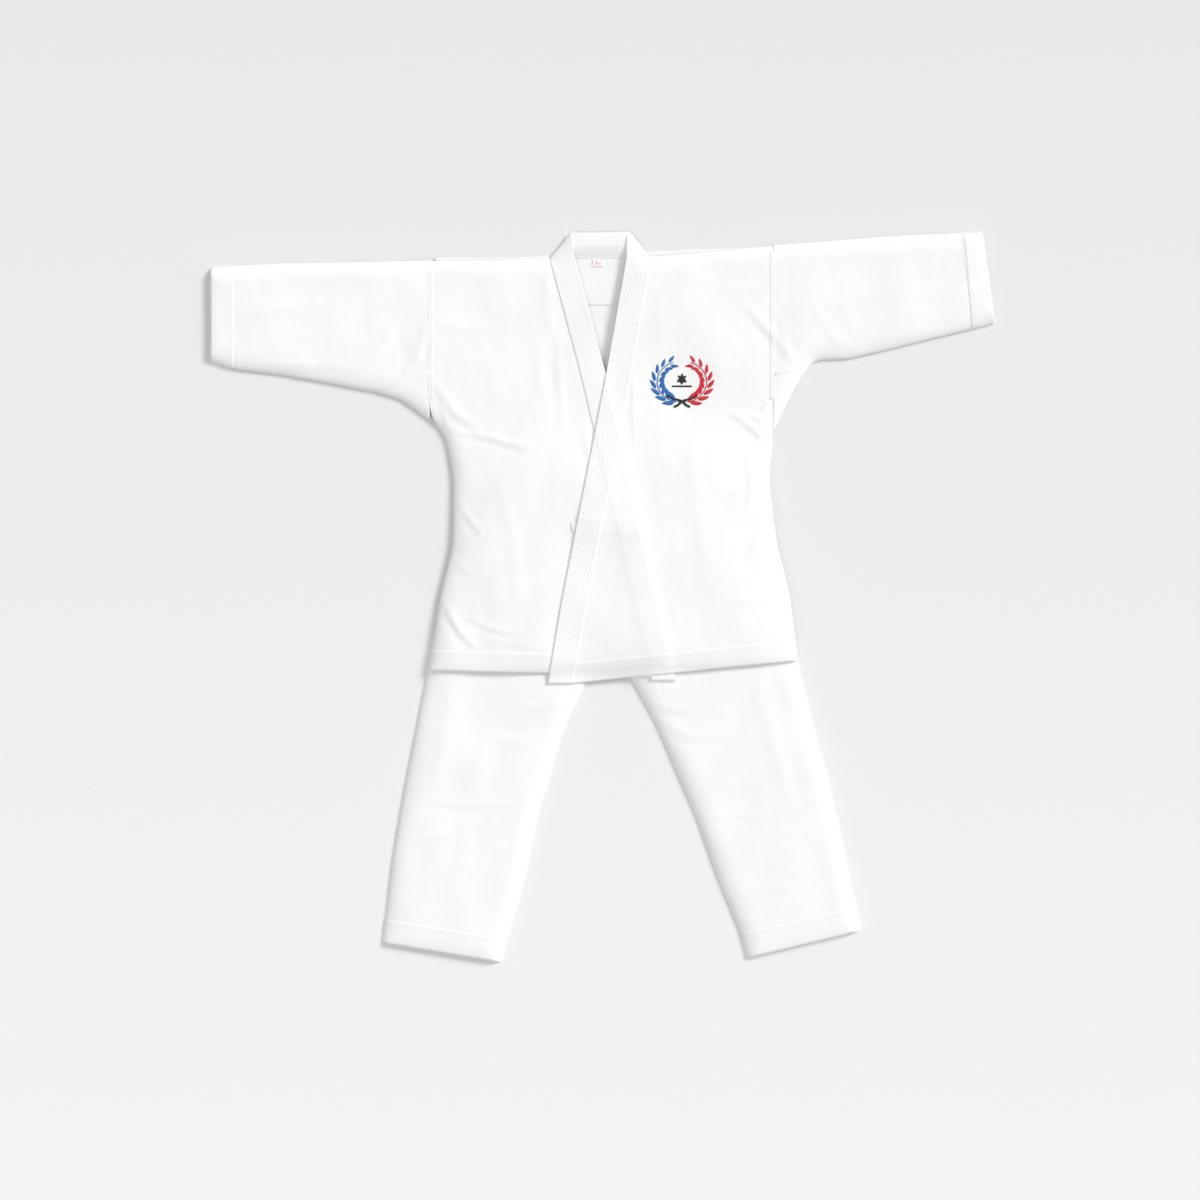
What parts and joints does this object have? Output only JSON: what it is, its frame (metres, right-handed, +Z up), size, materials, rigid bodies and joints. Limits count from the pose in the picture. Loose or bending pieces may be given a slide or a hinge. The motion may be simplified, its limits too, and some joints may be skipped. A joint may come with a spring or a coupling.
{
  "type": "martial arts uniform",
  "caption": "White cotton karate jacket and trousers laid flat, the wrap-over jacket lying on the trousers, sleeves spread.",
  "frame": {"origin": "on the floor, under the middle of the laid-out uniform's box", "axes": "+X towards the wearer's left sleeve, +Y towards the collar, +Z up from the floor"},
  "size_m": [1.057, 0.9845, 0.0261],
  "materials": {
    "gi_cotton": "plain woven cotton, matt",
    "gi_cotton_inside": "plain woven cotton, inside face",
    "lapel_cotton": "layered cotton with rows of stitching",
    "elastic_tape": "ribbed elastic and woven tape",
    "label_tape": "satin label tape",
    "badge_thread": "embroidery thread"
  },
  "bodies": {
    "trousers": {"waistband_casing": "gi_cotton", "waist_elastic": "elastic_tape", "waistband_facing": "gi_cotton", "right_thigh_back": "gi_cotton_inside", "right_thigh_front": "gi_cotton", "left_thigh_back": "gi_cotton_inside", "left_thigh_front": "gi_cotton", "crotch_gusset": "gi_cotton"},
    "right_lower_leg": {"right_shin_back": "gi_cotton_inside", "right_shin_front": "gi_cotton", "right_leg_hem": "gi_cotton"},
    "left_lower_leg": {"left_shin_back": "gi_cotton_inside", "left_shin_front": "gi_cotton", "left_leg_hem": "gi_cotton"},
    "jacket": {"jacket_back": "gi_cotton_inside", "back_hem": "gi_cotton_inside", "back_yoke_lining": "gi_cotton_inside", "back_collar": "lapel_cotton", "size_label": "label_tape", "right_front": "gi_cotton", "left_front": "gi_cotton", "right_lapel_upper": "lapel_cotton", "left_lapel_upper": "lapel_cotton", "chest_badge": "badge_thread"},
    "right_front_turnback": {"right_front_flap": "gi_cotton", "right_lapel": "lapel_cotton", "right_front_hem": "gi_cotton"},
    "left_front_turnback": {"left_front_flap": "gi_cotton", "left_lapel": "lapel_cotton", "left_front_hem": "gi_cotton", "left_front_tie": "elastic_tape"},
    "right_sleeve": {"right_sleeve_back": "gi_cotton_inside", "right_sleeve_front": "gi_cotton", "right_cuff": "gi_cotton", "right_underarm_gusset": "gi_cotton"},
    "left_sleeve": {"left_sleeve_back": "gi_cotton_inside", "left_sleeve_front": "gi_cotton", "left_cuff": "gi_cotton", "left_underarm_gusset": "gi_cotton"}
  },
  "joints": [
    {"name": "jacket_lift", "type": "slide", "parent": "trousers", "child": "jacket", "axis": [0, 0, 1], "range_m": [0, 0.3]},
    {"name": "right_leg_fold", "type": "hinge", "parent": "trousers", "child": "right_lower_leg", "pos_m": [-0.2681, -0.2624, 0.0118], "axis": [-0.9782, 0.2077, 0], "range_deg": [0, 160]},
    {"name": "left_leg_fold", "type": "hinge", "parent": "trousers", "child": "left_lower_leg", "pos_m": [0.3061, -0.2554, 0.0118], "axis": [-0.9695, -0.2451, 0], "range_deg": [0, 160]},
    {"name": "right_sleeve_fold", "type": "hinge", "parent": "jacket", "child": "right_sleeve", "pos_m": [-0.233, 0.4, 0.014], "axis": [0, -1, 0], "range_deg": [-165, 0]},
    {"name": "left_sleeve_fold", "type": "hinge", "parent": "jacket", "child": "left_sleeve", "pos_m": [0.23, 0.4, 0.014], "axis": [0, 1, 0], "range_deg": [-145, 0]},
    {"name": "left_front_fold", "type": "hinge", "parent": "jacket", "child": "left_front_turnback", "pos_m": [0.005, 0.29, 0.0263], "axis": [-0.6705, 0.7419, 0], "range_deg": [0, 150]},
    {"name": "right_front_fold", "type": "hinge", "parent": "jacket", "child": "right_front_turnback", "pos_m": [0, 0.252, 0.0221], "axis": [-0.6651, -0.7467, 0], "range_deg": [0, 60]}
  ],
  "couplings": [
    {"joint": "right_front_fold", "follows": "left_front_fold", "ratio": 0.4}
  ]
}
